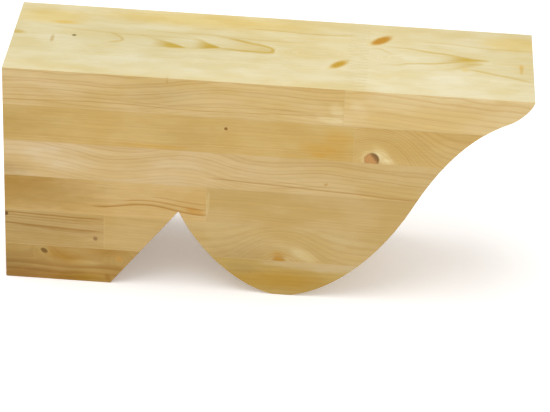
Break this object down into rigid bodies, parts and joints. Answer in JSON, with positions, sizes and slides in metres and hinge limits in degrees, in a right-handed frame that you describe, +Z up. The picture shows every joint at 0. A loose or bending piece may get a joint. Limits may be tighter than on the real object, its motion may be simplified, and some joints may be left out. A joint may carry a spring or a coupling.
{
  "type": "timber beam head",
  "caption": "Decorative end of a glue-laminated timber beam, sawn with a square heel, a notch, a round belly and an ogee up to a rounded nose.",
  "frame": {"origin": "middle of the beam's underside, under the middle of its box, on the plane that the heel and the belly rest on", "axes": "+X along the beam from the square cut end to the nose, +Z up through the lamellae, +Y across the beam to its back side"},
  "size_m": [0.513, 0.14, 0.24],
  "materials": {
    "lamella_1_inner": "planed, untreated",
    "lamella_1_outer": "planed, untreated",
    "lamella_2_inner": "planed, untreated",
    "lamella_2_outer": "planed, untreated",
    "lamella_3": "planed, untreated",
    "lamella_4_inner": "planed, untreated",
    "lamella_4_outer": "planed, untreated",
    "lamella_5_heel_inner": "planed, untreated",
    "lamella_5_heel_outer": "planed, untreated",
    "lamella_5_belly": "planed, untreated",
    "lamella_6_heel": "planed, untreated",
    "lamella_6_belly": "planed, untreated"
  },
  "bodies": {
    "root": {"lamella_1_inner": "lamella_1_inner", "lamella_1_outer": "lamella_1_outer", "lamella_2_inner": "lamella_2_inner", "lamella_2_outer": "lamella_2_outer", "lamella_3": "lamella_3", "lamella_4_inner": "lamella_4_inner", "lamella_4_outer": "lamella_4_outer", "lamella_5_heel_inner": "lamella_5_heel_inner", "lamella_5_heel_outer": "lamella_5_heel_outer", "lamella_5_belly": "lamella_5_belly", "lamella_6_heel": "lamella_6_heel", "lamella_6_belly": "lamella_6_belly"}
  },
  "joints": []
}
